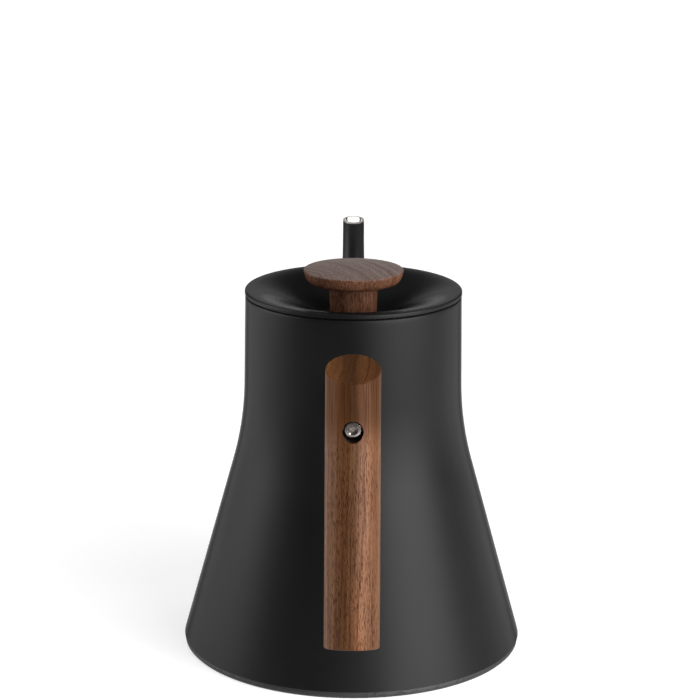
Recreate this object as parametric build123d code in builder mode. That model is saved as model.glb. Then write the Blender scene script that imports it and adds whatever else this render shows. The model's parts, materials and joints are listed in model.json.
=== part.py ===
from build123d import *

import os
from math import asin, cos, radians, sin, tan

# Gooseneck pour-over kettle: the lift-off vessel of a cordless electric kettle.
# Millimetres and degrees. The origin is the centre of the ring that the kettle stands on,
# +Z is up, the spout reaches along +Y and the grip hangs on the -Y side.

# Clearances
lid_gap = 0.4  # around the lid's seal, inside the mouth
thread_gap = 0.05  # around a shank in its thread
shank_gap = 0.25  # around a shank in a plain hole
spigot_gap = 0.1  # around the arm's spigot in the grip
cover_gap = 0.3  # around the base cover, inside the body
collar_gap = 0.5  # around the coupler's collar in the base cover
root_sink = 14.0  # how far a joined tube or bar starts inside the body, to be trimmed by it

# Body
crest_height = 157.0  # top of the lid's rim above the table
lid_rim = 2.35  # height of the lid's rim above the body
neck_radius = 46.0
neck_draft = 0.78
neck_length = 38.35
flare_radius = 138.6
cone_angle = 15.43
shell_wall = 1.0
mouth_ledge = 2.0  # how far the rolled rim turns in
mouth_bead = 2.5
rim_round = 0.8
foot_height = 3.0  # lower edge of the steel body
floor_height = 24.0  # wetted face of the vessel floor
floor_sheet = 1.0

# Spout
spout_wall = 0.8
root_rise = 1.2  # lower edge of the strainer above the vessel floor
root_radius = 13.4
tip_radius = 5.08
spout_reach = 148.0
tip_drop = 1.9  # tip below the lid's crest
root_angle = 22.0  # rise of the tube where it leaves the body
tip_angle = 38.0  # rise of the tube at its tip
root_handle = 95.0  # how far the tube keeps its course at the root
tip_handle = 70.0  # and at the tip
taper_power = 1.6
taper_end = 0.86  # where the taper ends, as a share of the course
spout_sections = 15
weld_share = 0.58  # where the neck is welded to the root, as a share of the course
port_radius = 11.0
strainer_sheet = 0.6
strainer_land = 2.0
strainer_hole = 1.5
strainer_pitch = 4.3  # between rings of holes
strainer_spread = 6  # holes in the first ring, twice as many in the second

# Handle
arm_drop = 32.65  # arm below the lid's crest
arm_radius = 6.0
arm_foot_fillet = 4.0
arm_foot_land = 0.6
grip_offset = 92.1  # axis of the body to axis of the grip, at the arm
grip_radius = 11.05
grip_tilt = 15.0
grip_top_rise = 21.05  # centre of the cut top face above the arm
grip_top_tilt = 13.4
grip_below = 88.0  # length of the grip below the arm
grip_round = 0.7
spigot_radius = 4.5
spigot_flat = 3.6
spigot_short = 2.0  # tip of the spigot before the grip's axis
grip_screw_recess = 3.0

# Metric screws
m4_radius = 2.0
m4_head_radius = 3.5
m4_head_height = 4.0
m4_hex = 3.0
m4_hex_depth = 2.0
m4_washer_radius = 3.9
m4_washer_height = 0.8
m3_radius = 1.5
m3_head_radius = 2.7
m3_head_height = 1.5
head_chamfer = 0.4
cross_width = 0.8
cross_length = 3.0
cross_depth = 0.75
grip_screw_length = 16.0
knob_screw_length = 10.0
cover_screw_length = 8.0
screw_bite = 0.6  # share of the heat plate that the coupler's screws enter
bite_hole = 0.8  # share of the heat plate that their holes enter

# Lid
lid_overhang = 0.2
lid_wall = 0.8
lid_reveal = 0.5  # dark groove between the lid's rim and the body
land_width = 2.6
crest_round = 0.7
dish_depth = 11.0
crest_handle = 12.0  # how far the dish keeps its course at the crest
crest_fall = 0.9  # and how far it falls on that way
floor_handle = 4.0  # how far the dish keeps its course at its floor
floor_rise = 1.5  # and how far it rises on that way
skirt_wall = 0.8
skirt_depth = 11.0
skirt_flange = 0.6
skirt_hem = 1.15
seal_thickness = 1.3
seal_height = 4.5
seal_lip = 1.2
vent_radius = 1.5
vent_offset = 30.0

# Knob
knob_radius = 21.2
knob_edge_rise = 8.5  # edge of the cap above the lid's crest
knob_dome = 1.5
knob_under_rise = 2.45
knob_under_radius = 14.0
knob_edge_round = 0.5
knob_draw = 0.7  # how far the side of the cap draws in below its edge
stem_radius = 10.3
stem_foot_radius = 10.0
stem_fillet = 1.8
stem_margin = 4.0  # flat of the dish around the stem
insert_radius = 3.5
insert_length = 9.0
knob_washer_radius = 6.0

# Heater
plate_radius = 50.0
plate_thickness = 3.0
element_ring = 42.0
element_width = 6.6
element_depth = 5.5
element_round = 2.2
element_arc = 300.0
terminal_radius = 1.2
terminal_length = 8.0
lead_radius = 1.0
lead_bend = 3.0
lead_spacing = 10.0
probe_offset = 34.0
probe_radius = 2.5
probe_rise = 12.0  # tip of the probe above the vessel floor
probe_tail = 13.0  # lower end of the probe below the vessel floor
probe_tip_round = 0.9  # share of the probe's radius that rounds its tip
probe_hole = 4.5
seal_flange = 6.5
seal_flange_height = 1.2
clip_radius = 6.0
clip_thickness = 0.8
probe_lead_radius = 0.9
probe_lead_bend = 1.5
probe_lead_drop = 2.5

# Coupler
socket_lift = 1.0  # mouth of the socket above the table
lead_in_radius = 17.5
lead_in_depth = 5.5
socket_radius = 16.5
socket_depth = 11.0
collar_wall = 2.0
coupler_radius = 21.0
coupler_flange_radius = 28.0
coupler_flange = 3.0
disc_radius = 7.0
disc_thickness = 0.6
disc_offset = 12.0
coupler_screw_ring = 24.5
coupler_pad = 3.4
contact_recess = 0.7  # tips of the contacts above the lead-in
pin_radius = 2.0
pin_tip_round = 1.0
line_ring_radius = 7.3
earth_ring_radius = 12.3
contact_wall = 0.8
block_reach = 31.0
block_margin = 2.0
block_height = 9.0
probe_block_width = 10.0
probe_block_reach = 24.0
probe_block_height = 6.0

# Base cover
gasket_height = 0.4
foot_inset = 0.4
foot_round = 0.8
foot_gap = 4.0  # between the cover's screws and the ring that the kettle stands on
cover_recess = 2.0
cover_plate = 1.8
cover_upstand = 9.0
cover_wall = 1.8
post_ring = 57.0
post_radius = 3.5
screw_count = 3
cover_screw_angle = 90.0
coupler_screw_angle = 90.0

# Worked-out places
mouth_height = crest_height - lid_rim
mouth_radius = neck_radius - shell_wall - mouth_ledge
neck_foot = mouth_height - neck_length
neck_spread = neck_length * tan(radians(neck_draft))
flare_centre = neck_radius + neck_spread + flare_radius * cos(radians(neck_draft))
flare_level = neck_foot + flare_radius * sin(radians(neck_draft))
arm_height = crest_height - arm_drop
tip_height = crest_height - tip_drop
lid_radius = neck_radius + lid_overhang
dish_level = crest_height - dish_depth
plate_top = floor_height - floor_sheet
plate_under = plate_top - plate_thickness
coupler_top = plate_under - disc_thickness
flange_under = coupler_top - coupler_flange
socket_roof = socket_lift + socket_depth
cover_top = cover_recess + cover_plate


def flank_radius(height, inset=0.0):
    """Radius of the body's side at a height, moved inwards by inset along its normal."""
    arc_radius = flare_radius + inset
    neck_turn = radians(neck_draft)
    cone_turn = radians(cone_angle)
    arc_top = flare_level - arc_radius * sin(neck_turn)
    arc_foot = flare_level - arc_radius * sin(cone_turn)
    if height > arc_top:
        return flare_centre - arc_radius * cos(neck_turn) - (height - arc_top) * tan(neck_turn)
    if height > arc_foot:
        return flare_centre - arc_radius * cos(asin((flare_level - height) / arc_radius))
    return flare_centre - arc_radius * cos(cone_turn) + (arc_foot - height) * tan(cone_turn)


def draw_flank(top, foot, inset=0.0):
    """Draw the body's side in the open sketch line: neck, flare and cone."""
    flare = CenterArc(
        (flare_centre, flare_level), flare_radius + inset, 180 + neck_draft, cone_angle - neck_draft
    )
    Line((flank_radius(top, inset), top), flare @ 0)
    Line(flare @ 1, (flank_radius(foot, inset), foot))


def facing_out(distance):
    """Plane across the arm's axis, facing away from the body."""
    return Plane(origin=(0, -distance, arm_height), x_dir=(1, 0, 0), z_dir=(0, -1, 0))


def grip_plane():
    """Plane across the grip at the arm, facing up along the grip."""
    tilt = radians(grip_tilt)
    return Plane(origin=(0, -grip_offset, arm_height), x_dir=(1, 0, 0), z_dir=(0, sin(tilt), cos(tilt)))


def draw_dish(drop):
    """Draw the lid's dish in the open sketch line, moved down by drop."""
    dish_edge = lid_radius - land_width
    dish_foot = stem_foot_radius + stem_margin
    Bezier(
        (dish_edge, crest_height - drop),
        (dish_edge - crest_handle, crest_height - crest_fall - drop),
        (dish_foot + floor_handle, dish_level + floor_rise - drop),
        (dish_foot, dish_level - drop),
    )


def screw_ring(radius, angle):
    """Places of one ring of screws."""
    return PolarLocations(radius, screw_count, angle)


def finish(piece, label):
    """Name a piece and write its file."""
    piece.part.label = label
    export_step(piece.part, f"parts/{label}.step")


os.makedirs("parts", exist_ok=True)

# Outside of the body as a solid, to trim what is welded to it
with BuildPart() as vessel_envelope:
    with BuildSketch(Plane.XZ):
        with BuildLine():
            draw_flank(mouth_height, 0)
            Polyline((flank_radius(0), 0), (0, 0), (0, mouth_height), (neck_radius, mouth_height))
        make_face()
    revolve(axis=Axis.Z)

# Course of the gooseneck: one S-curve from the root to the tip, run on straight at both ends
root_turn = radians(root_angle)
tip_turn = radians(tip_angle)
root_height = floor_height + port_radius + strainer_land + root_rise
root_distance = flank_radius(root_height)
root_plane = Plane(
    origin=(0, root_distance, root_height), x_dir=(1, 0, 0), z_dir=(0, cos(root_turn), sin(root_turn))
)
with BuildLine(Plane.YZ) as spout_course:
    neck_curve = Bezier(
        (root_distance, root_height),
        (root_distance + root_handle * cos(root_turn), root_height + root_handle * sin(root_turn)),
        (spout_reach - tip_handle * cos(tip_turn), tip_height - tip_handle * sin(tip_turn)),
        (spout_reach, tip_height),
    )
    PolarLine(neck_curve @ 0, root_sink, root_angle + 180)
    PolarLine(neck_curve @ 1, root_radius, tip_angle)
spout_wire = spout_course.wire()


def spout_rings(inset):
    """Cross-sections of the tapering tube along its course, their radius smaller by inset."""
    rings = []
    for station in range(spout_sections):
        along = station / (spout_sections - 1)
        swell = (root_radius - tip_radius) * max(0, 1 - along / taper_end) ** taper_power
        across = Plane(origin=spout_wire @ along, x_dir=(1, 0, 0), z_dir=spout_wire % along)
        with BuildSketch(across) as ring:
            Circle(tip_radius + swell - inset)
        rings.append(ring.sketch)
    return rings


spout_outside = spout_rings(0)
spout_inside = spout_rings(spout_wall)

# Body: one drawn steel shell with a rolled rim, a port for the spout and an open foot
with BuildPart() as body_shell:
    bead_foot = mouth_height - mouth_bead - mouth_ledge
    with BuildSketch(Plane.XZ):
        with BuildLine():
            draw_flank(mouth_height, foot_height)
            draw_flank(bead_foot, foot_height, shell_wall)
            Line(
                (flank_radius(foot_height), foot_height),
                (flank_radius(foot_height, shell_wall), foot_height),
            )
            Polyline(
                (neck_radius, mouth_height),
                (mouth_radius, mouth_height),
                (mouth_radius, mouth_height - mouth_bead),
                (flank_radius(bead_foot, shell_wall), bead_foot),
            )
        make_face()
    revolve(axis=Axis.Z)
    fillet(body_shell.edges().group_by(Axis.Z)[-1], rim_round)
    with BuildSketch(root_plane):
        Circle(port_radius)
    extrude(amount=root_sink, both=True, mode=Mode.SUBTRACT)
finish(body_shell, "body_shell")

with BuildPart() as vessel_floor:
    with BuildSketch(Plane.XZ):
        with BuildLine():
            Polyline(
                (0, plate_top),
                (flank_radius(plate_top, shell_wall), plate_top),
                (flank_radius(floor_height, shell_wall), floor_height),
                (0, floor_height),
                close=True,
            )
        make_face()
    revolve(axis=Axis.Z)
    with BuildSketch(Plane.XY.offset(floor_height)):
        with Locations((probe_offset, 0)):
            Circle(probe_hole)
    extrude(amount=-floor_sheet, mode=Mode.SUBTRACT)
finish(vessel_floor, "vessel_floor")

# Gooseneck: tapering tube, trimmed to the body at its root and cut level at its tip
with BuildPart() as spout_tube:
    loft(spout_outside)
    loft(spout_inside, mode=Mode.SUBTRACT)
    add(vessel_envelope.part, mode=Mode.SUBTRACT)
    split(bisect_by=Plane.XY.offset(tip_height), keep=Keep.BOTTOM)

# It is made in two: a wide formed root and a slim drawn neck, butt welded square to the course
weld_plane = Plane(origin=spout_wire @ weld_share, x_dir=(1, 0, 0), z_dir=spout_wire % weld_share)
with BuildPart() as spout:
    add(spout_tube.part)
    split(bisect_by=weld_plane, keep=Keep.BOTTOM)
finish(spout, "spout")

with BuildPart() as spout_neck:
    add(spout_tube.part)
    split(bisect_by=weld_plane, keep=Keep.TOP)
finish(spout_neck, "spout_neck")

# Strainer: a pierced patch on the inner wall, over the port
with BuildPart() as spout_strainer:
    with BuildSketch(root_plane):
        Circle(port_radius + strainer_land)
    extrude(amount=root_sink, both=True)
    with BuildSketch(Plane.XZ):
        with BuildLine():
            draw_flank(bead_foot, foot_height, shell_wall)
            draw_flank(bead_foot, foot_height, shell_wall + strainer_sheet)
            for level in (bead_foot, foot_height):
                Line(
                    (flank_radius(level, shell_wall), level),
                    (flank_radius(level, shell_wall + strainer_sheet), level),
                )
        make_face()
    revolve(axis=Axis.Z, mode=Mode.INTERSECT)
    with BuildSketch(root_plane):
        Circle(strainer_hole)
        for ring in (1, 2):
            with PolarLocations(ring * strainer_pitch, ring * strainer_spread):
                Circle(strainer_hole)
    extrude(amount=root_sink, both=True, mode=Mode.SUBTRACT)
finish(spout_strainer, "spout_strainer")

# Handle: a welded arm with a spigot, a round wooden grip coped onto it, and one screw
grip_rim = grip_offset + grip_radius / cos(radians(grip_tilt))
grip_near = grip_offset - grip_radius / cos(radians(grip_tilt))
head_seat = grip_rim - grip_screw_recess - m4_head_height
washer_seat = head_seat - m4_washer_height
screw_tip = head_seat - grip_screw_length
spigot_tip = grip_offset - spigot_short
foot_edge = flank_radius(arm_height - arm_radius - arm_foot_fillet) + arm_foot_land
arm_side = Plane(origin=(0, 0, arm_height), x_dir=(0, -1, 0), z_dir=(-1, 0, 0))

with BuildPart() as handle_arm:
    with BuildSketch(arm_side):
        with BuildLine():
            toe = (foot_edge, arm_radius + arm_foot_fillet)
            heel = (foot_edge + arm_foot_fillet, arm_radius)
            TangentArc(toe, heel, tangent=(0, -1))
            Polyline(
                heel,
                (grip_offset, arm_radius),
                (grip_offset, 0),
                (foot_edge - root_sink, 0),
                (foot_edge - root_sink, arm_radius + arm_foot_fillet),
                toe,
            )
        make_face()
    revolve(axis=Axis((0, 0, arm_height), (0, 1, 0)))
    add(vessel_envelope.part, mode=Mode.SUBTRACT)
    with BuildSketch(grip_plane()):
        Circle(grip_radius)
    extrude(amount=grip_below, both=True, mode=Mode.SUBTRACT)
    with BuildSketch(facing_out(grip_near - arm_radius)):
        Circle(spigot_radius)
        Rectangle(2 * spigot_radius, 2 * spigot_flat, mode=Mode.INTERSECT)
    extrude(amount=spigot_tip - grip_near + arm_radius)
    with BuildSketch(facing_out(spigot_tip)):
        Circle(m4_radius + thread_gap)
    extrude(amount=screw_tip - spigot_tip - m4_radius, mode=Mode.SUBTRACT)
finish(handle_arm, "handle_arm")

with BuildPart() as handle_grip:
    top_tilt = radians(grip_top_tilt)
    top_point = (0, grip_top_rise * tan(radians(grip_tilt)) - grip_offset, arm_height + grip_top_rise)
    with BuildSketch(grip_plane()):
        Circle(grip_radius)
    extrude(amount=grip_below, both=True)
    split(bisect_by=Plane(origin=top_point, z_dir=(0, -sin(top_tilt), cos(top_tilt))), keep=Keep.BOTTOM)
    fillet(handle_grip.edges().filter_by(GeomType.LINE, reverse=True), grip_round)
    with Locations(facing_out(grip_rim)):
        CounterBoreHole(
            m4_radius + shank_gap,
            m4_washer_radius + shank_gap,
            grip_rim - washer_seat,
            grip_rim - grip_near,
        )
    slot_radius = spigot_radius + spigot_gap
    slot_flat = spigot_flat + spigot_gap
    with BuildSketch(facing_out(grip_near - arm_radius)):
        Circle(slot_radius)
        Rectangle(2 * slot_radius, 2 * slot_flat, mode=Mode.INTERSECT)
    extrude(amount=spigot_tip - grip_near + arm_radius + spigot_gap, mode=Mode.SUBTRACT)
finish(handle_grip, "handle_grip")

with BuildPart() as handle_washer:
    with BuildSketch(facing_out(washer_seat)):
        Circle(m4_washer_radius)
        Circle(m4_radius + shank_gap, mode=Mode.SUBTRACT)
    extrude(amount=m4_washer_height)
finish(handle_washer, "handle_washer")

with BuildPart() as handle_screw:
    with BuildSketch(facing_out(head_seat)):
        Circle(m4_head_radius)
    extrude(amount=m4_head_height)
    chamfer(handle_screw.edges().group_by(Axis.Y)[0], head_chamfer)
    with BuildSketch(facing_out(head_seat)):
        Circle(m4_radius)
    extrude(amount=-grip_screw_length)
    with BuildSketch(facing_out(head_seat + m4_head_height)):
        RegularPolygon(m4_hex / 2, 6, major_radius=False)
    extrude(amount=-m4_hex_depth, mode=Mode.SUBTRACT)
finish(handle_screw, "handle_screw")

# Lid: a pressed cover with a concave dish, a hemmed skirt, a seal and a wooden knob
rim_foot = mouth_height + lid_reveal
seal_radius = mouth_radius - lid_gap
skirt_radius = seal_radius - seal_thickness
skirt_inner = skirt_radius - skirt_wall

with BuildPart() as lid_cover:
    hole_radius = m4_radius + shank_gap
    dish_under = dish_level - lid_wall
    with BuildSketch(Plane.XZ):
        with BuildLine():
            draw_dish(0)
            draw_dish(lid_wall)
            Line((lid_radius - land_width, crest_height), (lid_radius - crest_round, crest_height))
            TangentArc(
                (lid_radius - crest_round, crest_height),
                (lid_radius, crest_height - crest_round),
                tangent=(1, 0),
            )
            Polyline(
                (lid_radius, crest_height - crest_round),
                (lid_radius, rim_foot),
                (lid_radius - lid_wall, rim_foot),
                (lid_radius - lid_wall, crest_height - lid_wall),
                (lid_radius - land_width, crest_height - lid_wall),
            )
            Polyline(
                (stem_foot_radius + stem_margin, dish_level),
                (hole_radius, dish_level),
                (hole_radius, dish_under),
                (stem_foot_radius + stem_margin, dish_under),
            )
        make_face()
    revolve(axis=Axis.Z)
    with BuildSketch(Plane.XY.offset(dish_under)):
        with Locations((0, vent_offset)):
            Circle(vent_radius)
    extrude(amount=dish_depth, mode=Mode.SUBTRACT)
finish(lid_cover, "lid_cover")

with BuildPart() as lid_skirt:
    hem_radius = lid_radius - lid_wall
    with BuildSketch(Plane.XZ):
        with BuildLine():
            Polyline(
                (skirt_inner, mouth_height - skirt_depth),
                (skirt_radius, mouth_height - skirt_depth),
                (skirt_radius, mouth_height),
                (hem_radius, mouth_height),
                (hem_radius, mouth_height + skirt_hem),
                (hem_radius - skirt_wall, mouth_height + skirt_hem),
                (hem_radius - skirt_wall, mouth_height + skirt_flange),
                (skirt_inner, mouth_height + skirt_flange),
                close=True,
            )
        make_face()
    revolve(axis=Axis.Z)
finish(lid_skirt, "lid_skirt")

with BuildPart() as lid_seal:
    seal_top = mouth_height - rim_round
    with BuildSketch(Plane.XZ):
        with BuildLine():
            Polyline(
                (skirt_radius, seal_top - seal_height),
                (seal_radius - seal_lip / 2, seal_top - seal_height),
                (seal_radius, seal_top - seal_height + seal_lip),
                (seal_radius - seal_lip / 2, seal_top - seal_height / 2),
                (seal_radius, seal_top - seal_lip),
                (seal_radius - seal_lip / 2, seal_top),
                (skirt_radius, seal_top),
                close=True,
            )
        make_face()
    revolve(axis=Axis.Z)
finish(lid_seal, "lid_seal")

with BuildPart() as lid_knob:
    cap_edge = crest_height + knob_edge_rise
    cap_under = crest_height + knob_under_rise
    with BuildSketch(Plane.XZ):
        with BuildLine():
            Polyline((0, cap_edge + knob_dome), (0, dish_level), (stem_foot_radius, dish_level))
            Line((stem_foot_radius, dish_level), (stem_radius, cap_under - stem_fillet))
            TangentArc(
                (stem_radius, cap_under - stem_fillet),
                (stem_radius + stem_fillet, cap_under),
                tangent=(0, 1),
            )
            Line((stem_radius + stem_fillet, cap_under), (knob_under_radius, cap_under))
            Bezier(
                (knob_under_radius, cap_under),
                (knob_radius - knob_dome, cap_under),
                (knob_radius - knob_draw, cap_under + knob_dome),
                (knob_radius, cap_edge - knob_edge_round),
            )
            TangentArc(
                (knob_radius, cap_edge - knob_edge_round),
                (knob_radius - knob_edge_round, cap_edge),
                tangent=(0, 1),
            )
            Bezier(
                (knob_radius - knob_edge_round, cap_edge),
                (knob_radius / 2, cap_edge + knob_dome),
                (0, cap_edge + knob_dome),
            )
        make_face()
    revolve(axis=Axis.Z)
    with BuildSketch(Plane.XY.offset(dish_level)):
        Circle(insert_radius)
    extrude(amount=insert_length + thread_gap, mode=Mode.SUBTRACT)
finish(lid_knob, "lid_knob")

with BuildPart() as knob_insert:
    with BuildSketch(Plane.XY.offset(dish_level)):
        Circle(insert_radius)
        Circle(m4_radius + thread_gap, mode=Mode.SUBTRACT)
    extrude(amount=insert_length)
finish(knob_insert, "knob_insert")

with BuildPart() as knob_washer:
    with BuildSketch(Plane.XY.offset(dish_under)):
        Circle(knob_washer_radius)
        Circle(m4_radius + shank_gap, mode=Mode.SUBTRACT)
    extrude(amount=-m4_washer_height)
finish(knob_washer, "knob_washer")

with BuildPart() as knob_screw:
    knob_head_seat = dish_under - m4_washer_height
    with BuildSketch(Plane.XY.offset(knob_head_seat)):
        Circle(m4_radius)
    extrude(amount=knob_screw_length)
    with BuildSketch(Plane.XY.offset(knob_head_seat)):
        Circle(m4_head_radius)
    extrude(amount=-m4_head_height)
    with BuildSketch(Plane.XY.offset(knob_head_seat - m4_head_height)):
        RegularPolygon(m4_hex / 2, 6, major_radius=False)
    extrude(amount=m4_hex_depth, mode=Mode.SUBTRACT)
finish(knob_screw, "knob_screw")

# Heater under the vessel floor
with BuildPart() as heat_plate:
    with BuildSketch(Plane.XY.offset(plate_under)):
        Circle(plate_radius)
        with Locations((probe_offset, 0)):
            Circle(clip_radius + collar_gap, mode=Mode.SUBTRACT)
    extrude(amount=plate_thickness)
    with BuildSketch(Plane.XY.offset(plate_under)):
        with screw_ring(coupler_screw_ring, coupler_screw_angle):
            Circle(m3_radius + thread_gap)
    extrude(amount=plate_thickness * bite_hole, mode=Mode.SUBTRACT)
finish(heat_plate, "heat_plate")

gap_turn = radians((360 - element_arc) / 2)
element_level = plate_under - element_depth / 2


def element_end(side):
    """Plane on one end of the element, facing out of it."""
    end_point = (side * element_ring * sin(gap_turn), -element_ring * cos(gap_turn), element_level)
    return Plane(origin=end_point, x_dir=(0, 0, 1), z_dir=(-side * cos(gap_turn), -sin(gap_turn), 0))


with BuildPart() as heating_element:
    element_section = Plane(
        origin=(0, 0, 0),
        x_dir=(sin(gap_turn), -cos(gap_turn), 0),
        z_dir=(-cos(gap_turn), -sin(gap_turn), 0),
    )
    with BuildSketch(element_section):
        with Locations((element_ring, element_level)):
            Rectangle(element_width, element_depth)
        fillet(vertices().group_by(Axis.Y)[0], element_round)
    revolve(axis=Axis.Z, revolution_arc=element_arc)
finish(heating_element, "heating_element")

with BuildPart() as element_terminals:
    for side in (-1, 1):
        with BuildSketch(element_end(side)):
            Circle(terminal_radius)
        extrude(amount=terminal_length)
finish(element_terminals, "element_terminals")

# Each heater lead runs on from its terminal, then turns in to the coupler's block
with BuildPart() as heater_leads:
    for side in (-1, 1):
        lead_end = element_end(side).offset(terminal_length)
        lead_line = side * lead_spacing / 2
        lead_run = (lead_end.origin.X - lead_line) * side / cos(gap_turn)
        lead_corner = lead_end.origin + lead_end.z_dir * lead_run
        with BuildLine() as lead_course:
            FilletPolyline(
                lead_end.origin,
                lead_corner,
                Vector(lead_line, -block_reach, element_level),
                radius=lead_bend,
            )
        with BuildSketch(lead_end):
            Circle(lead_radius)
        sweep(path=lead_course.wire())
finish(heater_leads, "heater_leads")

# Temperature probe through the vessel floor
probe_foot = floor_height - probe_tail
probe_lead_level = probe_foot - probe_lead_drop

with BuildPart() as temperature_probe:
    with BuildSketch(Plane.XY.offset(probe_foot)):
        with Locations((probe_offset, 0)):
            Circle(probe_radius)
    extrude(amount=probe_tail + probe_rise)
    fillet(temperature_probe.edges().group_by(Axis.Z)[-1], probe_radius * probe_tip_round)
finish(temperature_probe, "temperature_probe")

with BuildPart() as probe_seal:
    with BuildSketch(Plane.XY.offset(plate_top)):
        with Locations((probe_offset, 0)):
            Circle(probe_hole)
    extrude(amount=floor_sheet)
    with BuildSketch(Plane.XY.offset(floor_height)):
        with Locations((probe_offset, 0)):
            Circle(seal_flange)
    extrude(amount=seal_flange_height)
    with BuildSketch(Plane.XY.offset(plate_top)):
        with Locations((probe_offset, 0)):
            Circle(probe_radius)
    extrude(amount=floor_sheet + seal_flange_height, mode=Mode.SUBTRACT)
finish(probe_seal, "probe_seal")

with BuildPart() as probe_clip:
    with BuildSketch(Plane.XY.offset(plate_top)):
        with Locations((probe_offset, 0)):
            Circle(clip_radius)
            Circle(probe_radius, mode=Mode.SUBTRACT)
    extrude(amount=-clip_thickness)
finish(probe_clip, "probe_clip")

with BuildPart() as probe_lead:
    lead_top = Vector(probe_offset, 0, probe_foot)
    with BuildLine() as probe_course:
        FilletPolyline(
            lead_top,
            Vector(probe_offset, 0, probe_lead_level),
            Vector(probe_block_reach, 0, probe_lead_level),
            radius=probe_lead_bend,
        )
    with BuildSketch(Plane(origin=lead_top, z_dir=(0, 0, -1))):
        Circle(probe_lead_radius)
    sweep(path=probe_course.wire())
finish(probe_lead, "probe_lead")

# Cordless coupler: a socket that drops over the post of a power base
lead_in_top = socket_lift + lead_in_depth
contact_tip = lead_in_top + contact_recess
collar_radius = lead_in_radius + collar_wall
collar_top = cover_top + collar_gap

with BuildPart() as coupler_housing:
    with BuildSketch(Plane.XZ):
        with BuildLine():
            Polyline(
                (0, socket_roof),
                (socket_radius, socket_roof),
                (socket_radius, lead_in_top),
                (lead_in_radius, lead_in_top),
                (lead_in_radius, socket_lift),
                (collar_radius, socket_lift),
                (collar_radius, collar_top),
                (coupler_radius, collar_top),
                (coupler_radius, flange_under),
                (coupler_flange_radius, flange_under),
                (coupler_flange_radius, coupler_top),
                (0, coupler_top),
                close=True,
            )
        make_face()
    revolve(axis=Axis.Z)
    block_width = lead_spacing + 2 * lead_radius + 2 * block_margin
    block_depth = block_reach - collar_radius
    with BuildSketch(Plane.XY.offset(coupler_top)):
        with Locations((0, -block_reach + block_depth / 2)):
            Rectangle(block_width, block_depth)
    extrude(amount=-block_height)
    probe_block_depth = probe_block_reach - collar_radius
    with BuildSketch(Plane.XY.offset(probe_lead_level)):
        with Locations((probe_block_reach - probe_block_depth / 2, 0)):
            Rectangle(probe_block_depth, probe_block_width)
    extrude(amount=probe_block_height / 2, both=True)
    with BuildSketch(Plane.XY.offset(coupler_top)):
        with screw_ring(coupler_screw_ring, coupler_screw_angle):
            Circle(coupler_pad)
    extrude(amount=disc_thickness)
    with BuildSketch(Plane.XY.offset(flange_under)):
        with screw_ring(coupler_screw_ring, coupler_screw_angle):
            Circle(m3_radius + shank_gap)
    extrude(amount=coupler_flange + disc_thickness, mode=Mode.SUBTRACT)
finish(coupler_housing, "coupler_housing")

with BuildPart() as coupler_pin:
    with BuildSketch(Plane.XY.offset(contact_tip)):
        Circle(pin_radius)
    extrude(amount=socket_roof - contact_tip)
    fillet(coupler_pin.edges().group_by(Axis.Z)[0], pin_tip_round)
finish(coupler_pin, "coupler_pin")

with BuildPart() as coupler_line_ring:
    with BuildSketch(Plane.XY.offset(contact_tip)):
        Circle(line_ring_radius)
        Circle(line_ring_radius - contact_wall, mode=Mode.SUBTRACT)
    extrude(amount=socket_roof - contact_tip)
finish(coupler_line_ring, "coupler_line_ring")

with BuildPart() as coupler_earth_ring:
    with BuildSketch(Plane.XY.offset(contact_tip)):
        Circle(earth_ring_radius)
        Circle(earth_ring_radius - contact_wall, mode=Mode.SUBTRACT)
    extrude(amount=socket_roof - contact_tip)
finish(coupler_earth_ring, "coupler_earth_ring")

with BuildPart() as cutout_discs:
    with BuildSketch(Plane.XY.offset(coupler_top)):
        with Locations((-disc_offset, 0), (disc_offset, 0)):
            Circle(disc_radius)
    extrude(amount=disc_thickness)
finish(cutout_discs, "cutout_discs")


def pan_screws(label, ring, angle, seat, length):
    """Ring of cross-head screws driven from below."""
    with BuildPart() as screws:
        with BuildSketch(Plane.XY.offset(seat)):
            with screw_ring(ring, angle):
                Circle(m3_head_radius)
        extrude(amount=-m3_head_height)
        with BuildSketch(Plane.XY.offset(seat - m3_head_height)):
            with screw_ring(ring, angle):
                Rectangle(cross_length, cross_width)
                Rectangle(cross_width, cross_length)
        extrude(amount=cross_depth, mode=Mode.SUBTRACT)
        with BuildSketch(Plane.XY.offset(seat)):
            with screw_ring(ring, angle):
                Circle(m3_radius)
        extrude(amount=length)
    finish(screws, label)


coupler_screw_length = plate_under - flange_under + plate_thickness * screw_bite
pan_screws("coupler_screws", coupler_screw_ring, coupler_screw_angle, flange_under, coupler_screw_length)

# Base: a plastic cover that the kettle stands on, on three posts under the vessel floor
with BuildPart() as cover_posts:
    with BuildSketch(Plane.XY.offset(cover_top)):
        with screw_ring(post_ring, cover_screw_angle):
            Circle(post_radius)
    extrude(amount=plate_top - cover_top)
    with BuildSketch(Plane.XY.offset(cover_top)):
        with screw_ring(post_ring, cover_screw_angle):
            Circle(m3_radius + thread_gap)
    extrude(amount=cover_screw_length, mode=Mode.SUBTRACT)
finish(cover_posts, "cover_posts")

pan_screws("cover_screws", post_ring, cover_screw_angle, cover_recess, cover_screw_length)

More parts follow.
